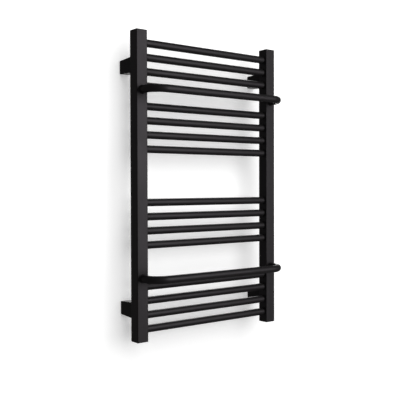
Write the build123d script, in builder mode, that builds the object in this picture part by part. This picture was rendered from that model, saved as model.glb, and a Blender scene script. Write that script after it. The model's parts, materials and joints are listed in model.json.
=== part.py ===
"""Wall-hung ladder towel warmer: two square uprights, round cross bars in four groups, two bent
rails in front, four tapered wall brackets, and the hydronic fittings in the uprights.

Millimetres. +X is to the right seen from the room, +Z is up and the room is towards -Y.
The wall is the plane y = 0, and the origin is the centre of the four wall screws on that plane.
"""
from build123d import *
import os

os.makedirs("parts", exist_ok=True)

# Uprights
rack_height = 860.0
rack_mid_z = 4.0            # mid height of the uprights above the centre of the wall screws
upright_spacing = 480.0     # between the uprights' centre lines
upright_side = 35.0
upright_wall = 2.0
upright_corner = 2.0
upright_end_edge = 0.6      # chamfer on the cut ends
wall_gap = 60.0             # from the wall to the uprights' backs

# Cross bars and towel rails
tube_diameter = 22.0
tube_wall = 1.5
tube_stand_in = 1.0         # how far each tube's end stands into the upright's waterway
bar_pitch = 39.5
bars_in_group = 4
group_tops = (397.0, 222.5, -44.5, -278.5)      # each group's top bar, from mid height
rail_heights = {"upper": 265.5, "lower": -253.5}
rail_reach = 58.0           # from the uprights' fronts to the rail's centre line
rail_bend = 44.0            # centre line radius, two tube diameters

# End plates and half-inch pipe sockets
plate_thick = 3.0
socket_radius = 13.0
socket_length = 14.0
socket_bore = 9.3155        # minor radius of the half-inch pipe thread
port_chamfer = 1.0
vent_height = 410.0         # of the rear sockets, from mid height

# Air vent and blanking plug
plug_clearance = 0.065
plug_thread = 9.0
flange_radius = 12.0
flange_thick = 3.5
flange_rim = 0.6
flange_gap = 0.5            # left between flange and socket when the seal is pressed
seal_radius = 10.4          # centre line of the sealing ring
seal_section = 1.0
plug_key = 10.0             # across the flats of the plug's hexagon socket
plug_key_depth = 5.0
bleed_bore = 2.5
bleed_seat_bore = 1.5
bleed_seat_depth = 3.0
bleed_clearance = 0.05
bleed_head_side = 3.6       # square head, turned by a vent key
bleed_head_length = 3.5
bleed_head_edge = 0.4

# Wall brackets
bracket_heights = {"upper": 340.0, "lower": -340.0}      # from the origin
housing_gap = 1.0           # between the housing and the wall
housing_base = (34.0, 44.0)
housing_end = (30.0, 38.0)
housing_corner = 3.0
housing_rim = 2.5
housing_shell = 3.5
housing_floor = 6.0
sleeve_wall = 2.9
rib_thick = 3.0             # upright rib that ties the sleeve to the housing's top and bottom
rib_set_back = 4.0          # of the sleeve and rib from the housing's mouth
spigot_radius = 11.0
spigot_length = 40.0
spigot_clearance = 0.05
spigot_rim = 0.8
screw_hole = 3.5            # for a 6 mm wall screw
screw_web = 6.0             # what the wall screw clamps
screw_well = 6.25
stud_radius = 2.5
stud_length = 15.0
stud_hole = 2.65
washer_radius = 5.0
washer_thick = 1.0
nut_flats = 8.0
nut_thick = 4.0
grub_radius = 2.45
grub_hole = 2.5
grub_key = 2.5
grub_length = 8.0
grub_from_wall = 18.0
grub_tip_gap = 0.3

# Places worked out from the above
upright_x = upright_spacing / 2
back_y = -wall_gap
front_y = back_y - upright_side
mid_y = back_y - upright_side / 2
top_z = rack_mid_z + rack_height / 2
bottom_z = rack_mid_z - rack_height / 2
tube_radius = tube_diameter / 2
inner_side = upright_side - 2 * upright_wall
bar_end_x = upright_x - upright_side / 2 + upright_wall + tube_stand_in
rail_end_y = front_y + upright_wall + tube_stand_in
rail_front_y = front_y - rail_reach
socket_z = rack_mid_z + vent_height
vent_face_y = back_y + flange_gap + flange_thick
vent_seat_y = back_y + flange_gap - plug_thread + bleed_seat_depth
bar_heights = [rack_mid_z + top - bar_pitch * i for top in group_tops for i in range(bars_in_group)]
rail_levels = {name: rack_mid_z + height for name, height in rail_heights.items()}
sides = {"left": -1, "right": 1}
bracket_places = {
    f"{level}_{side}": (sign * upright_x, height)
    for level, height in bracket_heights.items()
    for side, sign in sides.items()
}


def save(part, label):
    """Names a finished piece and writes it to its own STEP file."""
    part.label = label
    export_step(part, f"parts/{label}.step")


def facing_wall(x, y, z):
    """A sketch plane across the Y axis, with its normal towards the wall."""
    return Plane(origin=(x, y, z), x_dir=(-1, 0, 0), z_dir=(0, 1, 0))


def make_upright(side):
    """Square tube, bored on its inner side for the bars, in front for the rails, behind for a socket."""
    sign = sides[side]
    x = sign * upright_x
    inner_face_x = x - sign * upright_side / 2
    with BuildPart() as upright:
        with BuildSketch(Plane.XY.offset(bottom_z)):
            with Locations((x, mid_y)):
                RectangleRounded(upright_side, upright_side, upright_corner)
                RectangleRounded(inner_side, inner_side, upright_corner / 2, mode=Mode.SUBTRACT)
        extrude(amount=rack_height)
        cut_ends = [upright.faces().sort_by(Axis.Z)[end] for end in (0, -1)]
        chamfer([edge for face in cut_ends for edge in face.outer_wire().edges()], length=upright_end_edge)
        with BuildSketch(Plane(origin=(inner_face_x, 0, 0), x_dir=(0, 1, 0), z_dir=(sign, 0, 0))):
            with Locations(*[(mid_y, sign * z) for z in bar_heights]):
                Circle(tube_radius)
        extrude(amount=upright_wall, mode=Mode.SUBTRACT)
        with BuildSketch(facing_wall(x, front_y, 0)):
            with Locations(*[(0, z) for z in rail_levels.values()]):
                Circle(tube_radius)
        extrude(amount=upright_wall, mode=Mode.SUBTRACT)
        with BuildSketch(facing_wall(x, back_y, socket_z)):
            Circle(socket_radius)
        extrude(amount=-upright_wall, mode=Mode.SUBTRACT)
    save(upright.part, f"{side}_upright")


def make_bar(number, z):
    """One straight cross tube between the uprights."""
    with BuildPart() as bar:
        with BuildSketch(Plane(origin=(-bar_end_x, mid_y, z), x_dir=(0, 1, 0), z_dir=(1, 0, 0))):
            Circle(tube_radius)
            Circle(tube_radius - tube_wall, mode=Mode.SUBTRACT)
        extrude(amount=2 * bar_end_x)
    save(bar.part, f"cross_bar_{number:02d}")


def make_towel_rail(level):
    """A tube bent into a wide U, with its two legs in the uprights' fronts."""
    z = rail_levels[level]
    with BuildPart() as rail:
        with BuildLine():
            FilletPolyline(
                (-upright_x, rail_end_y, z),
                (-upright_x, rail_front_y, z),
                (upright_x, rail_front_y, z),
                (upright_x, rail_end_y, z),
                radius=rail_bend,
            )
        with BuildSketch(Plane(origin=(-upright_x, rail_end_y, z), x_dir=(1, 0, 0), z_dir=(0, -1, 0))):
            Circle(tube_radius)
            Circle(tube_radius - tube_wall, mode=Mode.SUBTRACT)
        sweep()
    save(rail.part, f"{level}_towel_rail")


def make_top_plate(side):
    """Plate that closes the upright's top, flush with its end."""
    x = sides[side] * upright_x
    with BuildPart() as plate:
        with BuildSketch(Plane.XY.offset(top_z - plate_thick)):
            with Locations((x, mid_y)):
                RectangleRounded(inner_side, inner_side, upright_corner / 2)
        extrude(amount=plate_thick)
    save(plate.part, f"{side}_top_plate")


def make_bottom_plate(side):
    """Plate at the upright's foot, bored for the pipe socket."""
    x = sides[side] * upright_x
    with BuildPart() as plate:
        with BuildSketch(Plane.XY.offset(bottom_z)):
            with Locations((x, mid_y)):
                RectangleRounded(inner_side, inner_side, upright_corner / 2)
                Circle(socket_radius, mode=Mode.SUBTRACT)
        extrude(amount=plate_thick)
    save(plate.part, f"{side}_bottom_plate")


def make_pipe_socket(side):
    """Half-inch socket at the upright's foot, where a pipe or valve is screwed in."""
    x = sides[side] * upright_x
    with BuildPart() as socket:
        with BuildSketch(Plane.XY.offset(bottom_z)):
            with Locations((x, mid_y)):
                Circle(socket_radius)
                Circle(socket_bore, mode=Mode.SUBTRACT)
        extrude(amount=socket_length)
        mouth = socket.edges().filter_by(GeomType.CIRCLE).group_by(Axis.Z)[0].sort_by(SortBy.RADIUS)[0]
        chamfer(mouth, length=port_chamfer)
    save(socket.part, f"{side}_pipe_socket")


def make_rear_socket(side):
    """Half-inch socket near the upright's top, flush with its back."""
    with BuildPart() as socket:
        with BuildSketch(facing_wall(sides[side] * upright_x, back_y, socket_z)):
            Circle(socket_radius)
            Circle(socket_bore, mode=Mode.SUBTRACT)
        extrude(amount=-socket_length)
    save(socket.part, f"{side}_rear_socket")


def plug_blank(x):
    """Shared blank of the vent and the plug: thread, flange and the seal's groove."""
    flange_y = back_y + flange_gap
    with BuildPart() as blank:
        with BuildSketch(facing_wall(x, flange_y, socket_z)):
            Circle(socket_bore - plug_clearance)
        extrude(amount=-plug_thread)
        with BuildSketch(facing_wall(x, flange_y, socket_z)):
            Circle(flange_radius)
        extrude(amount=flange_thick)
        rim = blank.edges().filter_by(GeomType.CIRCLE).group_by(Axis.Y)[-1]
        chamfer(rim, length=flange_rim)
        with BuildSketch(facing_wall(x, flange_y, socket_z)):
            Circle(seal_radius + seal_section)
            Circle(seal_radius - seal_section, mode=Mode.SUBTRACT)
        extrude(amount=2 * seal_section - flange_gap, mode=Mode.SUBTRACT)
    return blank.part


def make_air_vent(x):
    """Vent body with a threaded bore for the bleed spindle and a narrow seat bore behind it."""
    blank = plug_blank(x)
    with BuildPart() as vent:
        add(blank)
        with BuildSketch(facing_wall(x, vent_face_y, socket_z)):
            Circle(bleed_bore)
        extrude(amount=-(vent_face_y - vent_seat_y), mode=Mode.SUBTRACT)
        with BuildSketch(facing_wall(x, vent_seat_y, socket_z)):
            Circle(bleed_seat_bore)
        extrude(amount=-bleed_seat_depth, mode=Mode.SUBTRACT)
    save(vent.part, "air_vent_body")


def make_bleed_spindle(x):
    """Screw that closes the vent: a plain shank for the thread, a cone on the seat and a square head."""
    shank = bleed_bore - bleed_clearance
    tip_y = vent_seat_y + bleed_clearance
    shoulder_y = tip_y + shank - bleed_seat_bore
    with BuildPart() as spindle:
        with BuildSketch(Plane.XY.offset(socket_z)):
            with BuildLine():
                Polyline(
                    (x, tip_y),
                    (x + bleed_seat_bore, tip_y),
                    (x + shank, shoulder_y),
                    (x + shank, vent_face_y),
                    (x, vent_face_y),
                    close=True,
                )
            make_face()
        revolve(axis=Axis((x, 0, socket_z), (0, 1, 0)))
        with BuildSketch(facing_wall(x, vent_face_y, socket_z)):
            Rectangle(bleed_head_side, bleed_head_side)
        extrude(amount=bleed_head_length)
        head_end = spindle.faces().sort_by(Axis.Y)[-1]
        chamfer(head_end.edges(), length=bleed_head_edge)
    save(spindle.part, "bleed_spindle")


def make_blanking_plug(x):
    """Plug with a hexagon socket for its key."""
    blank = plug_blank(x)
    with BuildPart() as plug:
        add(blank)
        with BuildSketch(facing_wall(x, vent_face_y, socket_z)):
            RegularPolygon(plug_key / 2, 6, major_radius=False)
        extrude(amount=-plug_key_depth, mode=Mode.SUBTRACT)
    save(plug.part, "blanking_plug")


def make_seal(x, label):
    """Sealing ring between a flange and its socket, pressed to the height of its groove."""
    with BuildPart() as ring:
        with BuildSketch(Plane.XY.offset(socket_z)):
            with Locations((x + seal_radius, back_y + seal_section)):
                Circle(seal_section)
        revolve(axis=Axis((x, 0, socket_z), (0, 1, 0)))
    save(ring.part, label)


def make_housing(place):
    """Tapered bracket housing, hollow from the wall side, with a sleeve that rides on the wall spigot."""
    x, z = bracket_places[place]
    depth = wall_gap - housing_gap
    sleeve_radius = spigot_radius + spigot_clearance + sleeve_wall
    grub_y = -grub_from_wall
    with BuildPart() as housing:
        with BuildSketch(facing_wall(x, back_y, z)):
            RectangleRounded(*housing_base, housing_corner)
        with BuildSketch(facing_wall(x, -housing_gap, z)):
            RectangleRounded(*housing_end, housing_corner)
        loft()
        end_rim = housing.faces().sort_by(Axis.Y)[-1].edges()
        fillet(end_rim, radius=housing_rim)
        with BuildSketch(facing_wall(x, back_y + housing_floor, z)):
            RectangleRounded(*[size - 2 * housing_shell for size in housing_base], housing_corner / 2)
        with BuildSketch(facing_wall(x, -housing_gap, z)):
            RectangleRounded(*[size - 2 * housing_shell for size in housing_end], housing_corner / 2)
        loft(mode=Mode.SUBTRACT)
        with BuildSketch(facing_wall(x, back_y + housing_floor, z)):
            Circle(sleeve_radius)
            Rectangle(rib_thick, housing_end[1] - housing_shell)
        extrude(amount=depth - housing_floor - rib_set_back)
        with BuildSketch(facing_wall(x, back_y + housing_floor, z)):
            Circle(spigot_radius + spigot_clearance)
        extrude(amount=depth, mode=Mode.SUBTRACT)
        with BuildSketch(facing_wall(x, back_y, z)):
            Circle(stud_hole)
        extrude(amount=housing_floor, mode=Mode.SUBTRACT)
        with BuildSketch(Plane.XY.offset(z - housing_base[1] / 2)):
            with Locations((x, grub_y)):
                Circle(grub_hole)
        extrude(amount=housing_base[1] / 2, mode=Mode.SUBTRACT)
    save(housing.part, f"{place}_bracket_housing")


def make_spigot(place):
    """Round spigot screwed to the wall, with a deep well for the wall screw's head."""
    x, z = bracket_places[place]
    with BuildPart() as spigot:
        with BuildSketch(facing_wall(x, -spigot_length, z)):
            Circle(spigot_radius)
        extrude(amount=spigot_length)
        nose = spigot.edges().group_by(Axis.Y)[0]
        chamfer(nose, length=spigot_rim)
        with BuildSketch(facing_wall(x, -spigot_length, z)):
            Circle(screw_well)
        extrude(amount=spigot_length - screw_web, mode=Mode.SUBTRACT)
        with BuildSketch(facing_wall(x, -screw_web, z)):
            Circle(screw_hole)
        extrude(amount=screw_web, mode=Mode.SUBTRACT)
    save(spigot.part, f"{place}_wall_spigot")


def make_weld_studs():
    """Four studs on the uprights' backs, one for each housing."""
    with BuildPart() as studs:
        for x, z in bracket_places.values():
            with BuildSketch(facing_wall(x, back_y, z)):
                Circle(stud_radius)
            extrude(amount=stud_length)
    save(studs.part, "weld_studs")


def make_housing_washers():
    """Plain washers under the housing nuts."""
    with BuildPart() as washers:
        for x, z in bracket_places.values():
            with BuildSketch(facing_wall(x, back_y + housing_floor, z)):
                Circle(washer_radius)
                Circle(stud_hole, mode=Mode.SUBTRACT)
            extrude(amount=washer_thick)
    save(washers.part, "housing_washers")


def make_housing_nuts():
    """Hexagon nuts that hold the housings on their studs."""
    with BuildPart() as nuts:
        for x, z in bracket_places.values():
            with BuildSketch(facing_wall(x, back_y + housing_floor + washer_thick, z)):
                RegularPolygon(nut_flats / 2, 6, major_radius=False)
                Circle(stud_radius, mode=Mode.SUBTRACT)
            extrude(amount=nut_thick)
    save(nuts.part, "housing_nuts")


def make_grub_screws():
    """Grub screws in the housings' undersides, which clamp the spigots at the chosen wall distance."""
    with BuildPart() as screws:
        for x, z in bracket_places.values():
            foot_z = z - spigot_radius - grub_tip_gap - grub_length
            with BuildSketch(Plane.XY.offset(foot_z)):
                with Locations((x, -grub_from_wall)):
                    Circle(grub_radius)
            extrude(amount=grub_length)
            with BuildSketch(Plane.XY.offset(foot_z)):
                with Locations((x, -grub_from_wall)):
                    RegularPolygon(grub_key / 2, 6, major_radius=False)
            extrude(amount=grub_length / 3, mode=Mode.SUBTRACT)
    save(screws.part, "grub_screws")


for side in sides:
    make_upright(side)
    make_top_plate(side)
    make_bottom_plate(side)
    make_pipe_socket(side)
    make_rear_socket(side)

for index, height in enumerate(bar_heights):
    make_bar(index + 1, height)

for level in rail_levels:
    make_towel_rail(level)

make_air_vent(-upright_x)
make_bleed_spindle(-upright_x)
make_seal(-upright_x, "air_vent_seal")
make_blanking_plug(upright_x)
make_seal(upright_x, "blanking_plug_seal")

for place in bracket_places:
    make_housing(place)
    make_spigot(place)

make_weld_studs()
make_housing_washers()
make_housing_nuts()
make_grub_screws()
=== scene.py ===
"""Looks for the wall-hung ladder towel warmer: powder coat, plastics, bare metals, weld
fillets, pipe threads, a pale wall and floor, soft studio light and the camera. Metres, in
the frame's axes."""
import json
from math import pi, radians, tau

import bmesh
import bpy
from mathutils import Matrix, Vector


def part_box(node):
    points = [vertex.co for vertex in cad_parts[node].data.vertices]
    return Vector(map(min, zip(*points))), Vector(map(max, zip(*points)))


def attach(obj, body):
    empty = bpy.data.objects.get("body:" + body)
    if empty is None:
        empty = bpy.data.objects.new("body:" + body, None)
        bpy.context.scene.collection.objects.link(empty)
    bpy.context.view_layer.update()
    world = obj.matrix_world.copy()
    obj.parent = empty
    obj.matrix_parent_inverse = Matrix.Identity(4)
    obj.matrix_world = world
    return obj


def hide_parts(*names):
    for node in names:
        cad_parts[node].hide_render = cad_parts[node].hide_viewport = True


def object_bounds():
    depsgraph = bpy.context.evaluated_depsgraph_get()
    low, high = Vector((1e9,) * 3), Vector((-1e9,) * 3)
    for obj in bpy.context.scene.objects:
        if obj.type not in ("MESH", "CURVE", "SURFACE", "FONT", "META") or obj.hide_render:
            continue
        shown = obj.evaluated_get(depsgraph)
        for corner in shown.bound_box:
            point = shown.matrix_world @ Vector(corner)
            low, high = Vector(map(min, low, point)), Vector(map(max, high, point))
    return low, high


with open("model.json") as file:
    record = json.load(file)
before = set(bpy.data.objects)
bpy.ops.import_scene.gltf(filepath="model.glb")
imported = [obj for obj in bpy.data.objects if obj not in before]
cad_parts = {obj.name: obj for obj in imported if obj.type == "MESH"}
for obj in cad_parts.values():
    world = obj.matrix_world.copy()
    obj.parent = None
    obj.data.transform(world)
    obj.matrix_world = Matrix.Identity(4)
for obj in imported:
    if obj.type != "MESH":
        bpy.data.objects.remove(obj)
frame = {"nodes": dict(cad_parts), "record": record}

cad_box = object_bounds()
nodes = frame["nodes"]
scene = bpy.context.scene


# ---------------------------------------------------------------- materials

def new_material(name):
    """An empty node material with a shader, its output and Object coordinates."""
    made = bpy.data.materials.new(name)
    made.use_nodes = True
    tree = made.node_tree
    tree.nodes.clear()
    output = tree.nodes.new("ShaderNodeOutputMaterial")
    shader = tree.nodes.new("ShaderNodeBsdfPrincipled")
    tree.links.new(shader.outputs["BSDF"], output.inputs["Surface"])
    place = tree.nodes.new("ShaderNodeTexCoord").outputs["Object"]
    return made, tree, shader, place


def noise(tree, place, scale, detail=3.0, roughness=0.5):
    """Noise at so many cells to the metre."""
    node = tree.nodes.new("ShaderNodeTexNoise")
    node.inputs["Scale"].default_value = scale
    node.inputs["Detail"].default_value = detail
    node.inputs["Roughness"].default_value = roughness
    tree.links.new(place, node.inputs["Vector"])
    return node.outputs["Fac"]


def ramp(tree, factor, low, high, low_at=0.3, high_at=0.7):
    """A colour that goes from low to high as the factor does."""
    node = tree.nodes.new("ShaderNodeValToRGB")
    for element, colour, at in zip(node.color_ramp.elements, (low, high), (low_at, high_at)):
        element.color = (*colour, 1.0)
        element.position = at
    tree.links.new(factor, node.inputs["Fac"])
    return node.outputs["Color"]


def spread(tree, factor, low, high):
    """The factor's middle half mapped to the range from low to high."""
    node = tree.nodes.new("ShaderNodeMapRange")
    node.inputs["From Min"].default_value = 0.25
    node.inputs["From Max"].default_value = 0.75
    node.inputs["To Min"].default_value = low
    node.inputs["To Max"].default_value = high
    tree.links.new(factor, node.inputs["Value"])
    return node.outputs["Result"]


def bump(tree, shader, height, distance, strength, below=None):
    """Surface relief of so many metres, over an earlier relief if there is one."""
    node = tree.nodes.new("ShaderNodeBump")
    node.inputs["Distance"].default_value = distance
    node.inputs["Strength"].default_value = strength
    tree.links.new(height, node.inputs["Height"])
    if below:
        tree.links.new(below, node.inputs["Normal"])
    tree.links.new(node.outputs["Normal"], shader.inputs["Normal"])
    return node.outputs["Normal"]


def set_colour(tree, shader, factor, dark, light):
    """Base colour from dark to light with the factor."""
    tree.links.new(ramp(tree, factor, dark, light), shader.inputs["Base Color"])


def set_roughness(tree, shader, factor, low, high):
    """Roughness from low to high with the factor."""
    tree.links.new(spread(tree, factor, low, high), shader.inputs["Roughness"])


def powder_coat():
    """Satin black powder coat: a fine even orange peel with faint patches of gloss."""
    made, tree, shader, place = new_material("satin_black_powder_coat")
    patches = noise(tree, place, 14.0)
    peel = noise(tree, place, 620.0, detail=2.0)
    grain = noise(tree, place, 3200.0, detail=1.0)
    set_colour(tree, shader, patches, (0.0185, 0.0172, 0.0180), (0.0215, 0.0200, 0.0210))
    set_roughness(tree, shader, patches, 0.39, 0.45)
    shader.inputs["IOR"].default_value = 1.45
    shader.inputs["Specular IOR Level"].default_value = 0.42
    shader.inputs["Specular Tint"].default_value = (1.0, 0.93, 1.0, 1.0)
    first = bump(tree, shader, peel, 0.00016, 0.45)
    bump(tree, shader, grain, 0.00003, 0.25, below=first)
    return made


def moulded_plastic():
    """Matt black nylon with a fine spark-eroded texture."""
    made, tree, shader, place = new_material("matt_black_nylon")
    grain = noise(tree, place, 2200.0, detail=4.0, roughness=0.65)
    patches = noise(tree, place, 30.0)
    set_colour(tree, shader, patches, (0.0165, 0.0155, 0.0160), (0.0195, 0.0183, 0.0190))
    set_roughness(tree, shader, grain, 0.58, 0.68)
    shader.inputs["Specular IOR Level"].default_value = 0.35
    bump(tree, shader, grain, 0.00006, 0.4)
    return made


def vector_step(tree, operation, first, second=None):
    """One vector operation on a link and, if there is one, a constant."""
    node = tree.nodes.new("ShaderNodeVectorMath")
    node.operation = operation
    tree.links.new(first, node.inputs[0])
    if second:
        node.inputs[1].default_value = second
    return node.outputs["Value" if operation in ("LENGTH", "DOT_PRODUCT") else "Vector"]


def number_step(tree, operation, first, second=None):
    """One number operation on a link and a link or a constant."""
    node = tree.nodes.new("ShaderNodeMath")
    node.operation = operation
    tree.links.new(first, node.inputs[0])
    if isinstance(second, float):
        node.inputs[1].default_value = second
    elif second:
        tree.links.new(second, node.inputs[1])
    return node.outputs["Value"]


def tool_marks(tree, place, centre, axis, pitch):
    """Rings that a lathe leaves: round the flat ends of a piece and along its sides.
    The pieces stand alike on both sides of the middle, so one centre serves them all."""
    across = tuple(1.0 - part for part in axis)
    from_centre = vector_step(tree, "SUBTRACT", vector_step(tree, "ABSOLUTE", place), centre)
    radius = vector_step(tree, "LENGTH", vector_step(tree, "MULTIPLY", from_centre, across))
    height = vector_step(tree, "DOT_PRODUCT", place, axis)
    turns = number_step(tree, "MULTIPLY", number_step(tree, "ADD", radius, height), tau / pitch)
    return number_step(tree, "SINE", turns)


def turned_metal(name, dark, light, roughness, centre, axis, pitch):
    """Metal turned on a lathe: fine rings about its axis, and a little tarnish."""
    made, tree, shader, place = new_material(name)
    tarnish = noise(tree, place, 160.0, detail=3.0)
    set_colour(tree, shader, tarnish, dark, light)
    set_roughness(tree, shader, tarnish, roughness, roughness + 0.06)
    shader.inputs["Metallic"].default_value = 1.0
    bump(tree, shader, tool_marks(tree, place, centre, axis, pitch), 0.00002, 0.55)
    return made


def plated_metal(name, dark, light, roughness):
    """Plated or blackened metal with cloudy patches and a faint grain."""
    made, tree, shader, place = new_material(name)
    clouds = noise(tree, place, 120.0, detail=2.0)
    grain = noise(tree, place, 2600.0)
    set_colour(tree, shader, clouds, dark, light)
    set_roughness(tree, shader, clouds, roughness, roughness + 0.05)
    shader.inputs["Metallic"].default_value = 1.0
    bump(tree, shader, grain, 0.000004, 0.3)
    return made


def seal_rubber():
    """Smooth black rubber with a faint bloom."""
    made, tree, shader, place = new_material("black_seal_rubber")
    bloom = noise(tree, place, 400.0, detail=4.0)
    set_colour(tree, shader, bloom, (0.012, 0.012, 0.012), (0.030, 0.030, 0.030))
    set_roughness(tree, shader, bloom, 0.55, 0.7)
    return made


def centre_of(node):
    """The middle of a node's box, brought to the positive side of every axis."""
    low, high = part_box(node)
    return tuple(abs(a + b) / 2 for a, b in zip(low, high))


spigot_centre = centre_of("upper_right_wall_spigot")
socket_centre = centre_of("right_pipe_socket")
lathe_pitch = 0.0005    # between the rings on turned metal

finishes = {
    "powder_coat": powder_coat(),
    "housing_plastic": moulded_plastic(),
    "spigot_alloy": turned_metal(
        "turned_aluminium", (0.54, 0.54, 0.56), (0.60, 0.60, 0.62), 0.30,
        spigot_centre, (0.0, 1.0, 0.0), lathe_pitch,
    ),
    "plain_steel": turned_metal(
        "turned_bare_steel", (0.32, 0.31, 0.30), (0.38, 0.37, 0.36), 0.34,
        socket_centre, (0.0, 0.0, 1.0), lathe_pitch,
    ),
    "nickel_plate": plated_metal("nickel_plate", (0.46, 0.44, 0.405), (0.50, 0.48, 0.44), 0.30),
    "zinc_plate": plated_metal("zinc_plate", (0.48, 0.49, 0.52), (0.66, 0.67, 0.70), 0.30),
    "black_steel": plated_metal("black_oxide", (0.030, 0.030, 0.034), (0.060, 0.060, 0.066), 0.42),
    "seal_rubber": seal_rubber(),
}

for row in frame["record"]["subparts"]:
    cad_mesh = nodes[row["node"]].data
    cad_mesh.materials.clear()
    cad_mesh.materials.append(finishes[row["material_slot"]])


# ---------------------------------------------------------------- weld fillets

slot_of = {row["node"]: row["material_slot"] for row in frame["record"]["subparts"]}
left_low, left_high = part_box("left_upright")
right_low, right_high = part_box("right_upright")
bar_low, bar_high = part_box("cross_bar_01")
tube_radius = (bar_high[2] - bar_low[2]) / 2
upright_mid_x = (right_low[0] + right_high[0]) / 2
upright_mid_y = (left_low[1] + left_high[1]) / 2
sunk = 0.0001           # how far a joined piece reaches into what it stands on
merge_gap = 0.000005    # vertices nearer than this are one
weld_leg = 0.0018
weld_cut = 0.9 * weld_leg       # how far the fillet's hollow face cuts into its corner
weld_hollow = 0.2               # shape of that face, 0.5 being round
weld_face_steps = 5
weld_turn_steps = 48


def keep(name, piece, slot):
    """Names a finished piece, hangs it on the rack and gives it its slot's finish."""
    piece.name = name
    piece.data.materials.clear()
    piece.data.materials.append(finishes[slot])
    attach(piece, "rack")
    return piece


def tidy_mesh(smooth_to):
    """Merges doubles and turns the faces of the piece in edit mode outwards, then shades it."""
    bpy.ops.mesh.select_all(action="SELECT")
    bpy.ops.mesh.remove_doubles(threshold=merge_gap)
    bpy.ops.mesh.normals_make_consistent(inside=False)
    bpy.ops.object.mode_set(mode="OBJECT")
    bpy.ops.object.shade_smooth_by_angle(angle=radians(smooth_to))


def joined(pieces):
    """One object from several."""
    bpy.ops.object.select_all(action="DESELECT")
    for piece in pieces:
        piece.select_set(True)
    bpy.context.view_layer.objects.active = pieces[0]
    bpy.ops.object.join()
    return bpy.context.object


def weld_fillet():
    """A hollow-faced fillet round a tube that stands up along +Z from a face at z = 0."""
    bpy.ops.object.select_all(action="DESELECT")
    half = weld_leg / 2
    bpy.ops.mesh.primitive_plane_add(
        size=weld_leg,
        location=(tube_radius - sunk + half, 0, half - sunk),
        rotation=(radians(90), 0, 0),
    )
    piece = bpy.context.object
    bpy.ops.object.transform_apply(location=True, rotation=True, scale=True)
    bpy.ops.object.mode_set(mode="EDIT")
    bpy.ops.mesh.select_mode(type="VERT")
    bpy.ops.mesh.select_all(action="DESELECT")
    section = bmesh.from_edit_mesh(piece.data)
    for vertex in section.verts:
        vertex.select = vertex.co.x > tube_radius - sunk + half and vertex.co.z > half - sunk
    bmesh.update_edit_mesh(piece.data)
    bpy.ops.mesh.bevel(
        offset=weld_cut, segments=weld_face_steps, profile=weld_hollow, affect="VERTICES"
    )
    bpy.ops.mesh.select_all(action="SELECT")
    bpy.ops.mesh.delete(type="ONLY_FACE")
    bpy.ops.mesh.select_all(action="SELECT")
    bpy.ops.mesh.spin(steps=weld_turn_steps, angle=tau, center=(0, 0, 0), axis=(0, 0, 1))
    tidy_mesh(60)
    return piece


def fillets_at(name, placings):
    """Copies of the fillet, each with its own mesh, made into one piece."""
    copies = []
    for placing in placings:
        copy = fillet.copy()
        copy.data = fillet.data.copy()
        copy.data.transform(placing)
        scene.collection.objects.link(copy)
        copies.append(copy)
    return keep(name, joined(copies), "powder_coat")


fillet = weld_fillet()
bar_levels = [
    (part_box(node)[0][2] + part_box(node)[1][2]) / 2
    for node in sorted(nodes)
    if node.startswith("cross_bar_")
]
rail_levels = [
    (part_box(f"{level}_towel_rail")[0][2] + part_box(f"{level}_towel_rail")[1][2]) / 2
    for level in ("upper", "lower")
]
along_x = Matrix.Rotation(pi / 2, 4, "Y")
against_x = Matrix.Rotation(-pi / 2, 4, "Y")
against_y = Matrix.Rotation(pi / 2, 4, "X")
fillets_at(
    "left_bar_fillets",
    [Matrix.Translation((left_high[0], upright_mid_y, z)) @ along_x for z in bar_levels],
)
fillets_at(
    "right_bar_fillets",
    [Matrix.Translation((right_low[0], upright_mid_y, z)) @ against_x for z in bar_levels],
)
fillets_at(
    "rail_fillets",
    [
        Matrix.Translation((x, left_low[1], z)) @ against_y
        for x in (-upright_mid_x, upright_mid_x)
        for z in rail_levels
    ],
)
bpy.data.objects.remove(fillet)


# ---------------------------------------------------------------- pipe threads

thread_pitch = 0.001814         # fourteen to the inch
thread_crest = 0.0093155        # radius at the crests, the socket's stated bore
thread_root = 0.0104775
thread_turns = 6
thread_steps = 48
thread_start = 0.0014           # from the socket's foot to the middle of the first ridge
ridge_half_width = 0.48 * thread_pitch
socket_sides = 64
mouth_edge = 0.0006             # chamfer at the socket's open end


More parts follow.
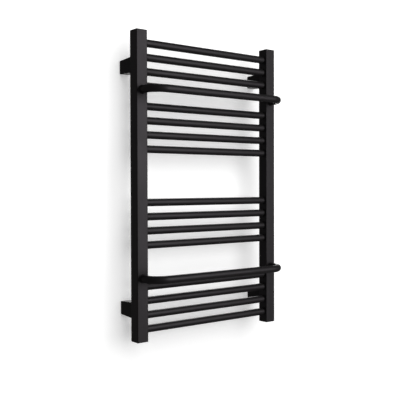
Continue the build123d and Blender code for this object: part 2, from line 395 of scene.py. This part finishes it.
def threaded_socket(side):
    """The socket at an upright's foot with its thread cut, open at both ends."""
    node = f"{side}_pipe_socket"
    low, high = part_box(node)
    radius = (high[0] - low[0]) / 2
    length = high[2] - low[2]
    bpy.ops.object.select_all(action="DESELECT")
    bpy.ops.mesh.primitive_cylinder_add(
        vertices=socket_sides, radius=radius, depth=length, location=(0, 0, length / 2)
    )
    shell = bpy.context.object
    bpy.ops.object.transform_apply(location=True, rotation=True, scale=True)
    bpy.ops.object.mode_set(mode="EDIT")
    bpy.ops.mesh.select_mode(type="FACE")
    bpy.ops.mesh.select_all(action="DESELECT")
    body = bmesh.from_edit_mesh(shell.data)
    for face in body.faces:
        face.select = abs(face.normal.z) > 0.9
    bmesh.update_edit_mesh(shell.data)
    bpy.ops.mesh.inset(thickness=radius - thread_root)
    bpy.ops.mesh.bridge_edge_loops()
    bpy.ops.mesh.select_mode(type="EDGE")
    bpy.ops.mesh.select_all(action="DESELECT")
    body = bmesh.from_edit_mesh(shell.data)
    for edge in body.edges:
        edge.select = all(
            v.co.z < sunk and v.co.xy.length < thread_root + sunk for v in edge.verts
        )
    bmesh.update_edit_mesh(shell.data)
    bpy.ops.mesh.bevel(offset=mouth_edge, segments=2, affect="EDGES")
    tidy_mesh(35)

    bpy.ops.object.select_all(action="DESELECT")
    depth = thread_root + sunk - thread_crest
    bpy.ops.mesh.primitive_circle_add(
        vertices=3, radius=1, location=(0, 0, 0), rotation=(radians(90), 0, 0), fill_type="NGON"
    )
    ridge = bpy.context.object
    bpy.ops.object.transform_apply(location=True, rotation=True, scale=True)
    corners = (
        (thread_crest, 0.0),
        (thread_crest + depth, -ridge_half_width),
        (thread_crest + depth, ridge_half_width),
    )
    for vertex, (x, z) in zip(ridge.data.vertices, corners):
        vertex.co = (x, 0, z + thread_start)
    screw = ridge.modifiers.new("thread", "SCREW")
    screw.axis = "Z"
    screw.angle = tau
    screw.screw_offset = thread_pitch
    screw.iterations = thread_turns
    screw.steps = thread_steps
    screw.render_steps = thread_steps
    bpy.ops.object.modifier_apply(modifier=screw.name)
    bpy.ops.object.mode_set(mode="EDIT")
    bpy.ops.mesh.select_mode(type="EDGE")
    bpy.ops.mesh.select_all(action="SELECT")
    bpy.ops.mesh.remove_doubles(threshold=merge_gap)
    bpy.ops.mesh.fill_holes(sides=4)
    tidy_mesh(20)

    piece = joined([shell, ridge])
    foot = ((low[0] + high[0]) / 2, (low[1] + high[1]) / 2, low[2])
    piece.data.transform(Matrix.Translation(foot))
    keep(f"{side}_threaded_socket", piece, slot_of[node])
    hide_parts(node)


for side in ("left", "right"):
    threaded_socket(side)


# ---------------------------------------------------------------- light, wall, floor and camera

def stage_material(name, dark, light, glow):
    """Plain pale paint, lifted by a glow that keeps the shadows on it light.
    It isn't seen from behind, so that the object's back and underside can be."""
    made, tree, shader, place = new_material(name)
    mottle = noise(tree, place, 6.0)
    tree.links.new(ramp(tree, mottle, (dark,) * 3, (light,) * 3), shader.inputs["Base Color"])
    shader.inputs["Roughness"].default_value = 0.9
    shader.inputs["Specular IOR Level"].default_value = 0.0
    shader.inputs["Emission Color"].default_value = (1.0, 1.0, 1.0, 1.0)
    shader.inputs["Emission Strength"].default_value = glow
    output = next(node for node in tree.nodes if node.type == "OUTPUT_MATERIAL")
    side = tree.nodes.new("ShaderNodeNewGeometry")
    clear = tree.nodes.new("ShaderNodeBsdfTransparent")
    either = tree.nodes.new("ShaderNodeMixShader")
    tree.links.new(side.outputs["Backfacing"], either.inputs["Fac"])
    tree.links.new(shader.outputs["BSDF"], either.inputs[1])
    tree.links.new(clear.outputs["BSDF"], either.inputs[2])
    tree.links.new(either.outputs["Shader"], output.inputs["Surface"])
    return made


floor_drop = 0.60       # from the object's lowest point to the floor
wall_gap = 0.0005       # keeps the wall's surface clear of the brackets' ends
wall_size = 12.0
floor_size = 24.0


def add_plane(name, size, place, turn, finish):
    """A stage plane that the object neither mirrors nor takes colour or shadow from."""
    bpy.ops.object.select_all(action="DESELECT")
    bpy.ops.mesh.primitive_plane_add(size=size, location=place, rotation=turn)
    made = bpy.context.object
    made.name = name
    made.data.materials.append(finish)
    made.visible_diffuse = False
    made.visible_glossy = False
    made.visible_shadow = False
    return made


floor_z = cad_box[0][2] - floor_drop
wall = add_plane(
    "wall", wall_size, (0, wall_gap, floor_z + wall_size / 2), (radians(90), 0, 0),
    stage_material("wall_paint", 0.79, 0.81, 0.38),
)
add_plane(
    "floor", floor_size, (0, 0, floor_z), (0, 0, 0),
    stage_material("floor_paint", 0.10, 0.12, 0.86),
)


def add_softbox(name, place, aim, width, height, power):
    """A rectangular light that the camera doesn't see, with its power in watts."""
    light = bpy.data.lights.new(name, "AREA")
    light.shape = "RECTANGLE"
    light.size = width
    light.size_y = height
    light.energy = power
    made = bpy.data.objects.new(name, light)
    scene.collection.objects.link(made)
    made.location = place
    made.rotation_euler = (Vector(aim) - Vector(place)).to_track_quat("-Z", "Y").to_euler()
    made.visible_camera = False
    return made


middle = Vector((0, cad_box[0][1] / 2, 0))
upper_key = add_softbox("upper_key", (1.2, -2.4, 0.9), middle, 1.0, 2.0, 20.0)
lower_key = add_softbox("lower_key", (1.3, -2.4, -0.3), middle, 1.0, 1.6, 11.5)
wash = add_softbox("wall_wash", (0.3, -2.6, 1.2), middle, 4.0, 4.0, 148.0)
add_softbox("rear_fill", (1.5, 2.2, 0.8), middle, 1.8, 3.0, 60.0)


def link_to_wall(name, lights, state):
    """Lets lights fall on the wall alone, or on everything but the wall."""
    group = bpy.data.collections.new(name)
    group.objects.link(wall)
    group.collection_objects[0].light_linking.link_state = state
    for light in lights:
        light.light_linking.receiver_collection = group


# The wide wash keeps the shadows on the wall soft and close to the object.
link_to_wall("wall_alone", [wash], "INCLUDE")
link_to_wall("all_but_the_wall", [upper_key, lower_key], "EXCLUDE")

world_on_object = 0.098         # the world's strength as a light
world_in_view = 0.95            # and as the background the camera sees
world = bpy.data.worlds.new("studio")
world.use_nodes = True
background = world.node_tree.nodes["Background"]
background.inputs["Color"].default_value = (1.0, 1.0, 1.0, 1.0)
ray = world.node_tree.nodes.new("ShaderNodeLightPath")
seen = world.node_tree.nodes.new("ShaderNodeMapRange")
seen.inputs["To Min"].default_value = world_on_object
seen.inputs["To Max"].default_value = world_in_view
world.node_tree.links.new(ray.outputs["Is Camera Ray"], seen.inputs["Value"])
world.node_tree.links.new(seen.outputs["Result"], background.inputs["Strength"])
scene.world = world
scene.view_settings.view_transform = "Standard"

camera_place = Vector((-1.2833, -1.7035, 0.0033))
camera_turn = radians(37.673)       # to the right of the wall's normal
camera_dip = radians(1.102)
camera_roll = radians(-0.156)
camera_sensor = 36.0                # sensor width and focal length, in millimetres
camera_focal = 62.73
camera_data = bpy.data.cameras.new("camera")
camera_data.sensor_width = camera_sensor
camera_data.lens = camera_focal
camera = bpy.data.objects.new("camera", camera_data)
scene.collection.objects.link(camera)
camera.matrix_world = (
    Matrix.Translation(camera_place)
    @ Matrix.Rotation(-camera_turn, 4, "Z")
    @ Matrix.Rotation(pi / 2 - camera_dip, 4, "X")
    @ Matrix.Rotation(camera_roll, 4, "Z")
)
scene.camera = camera
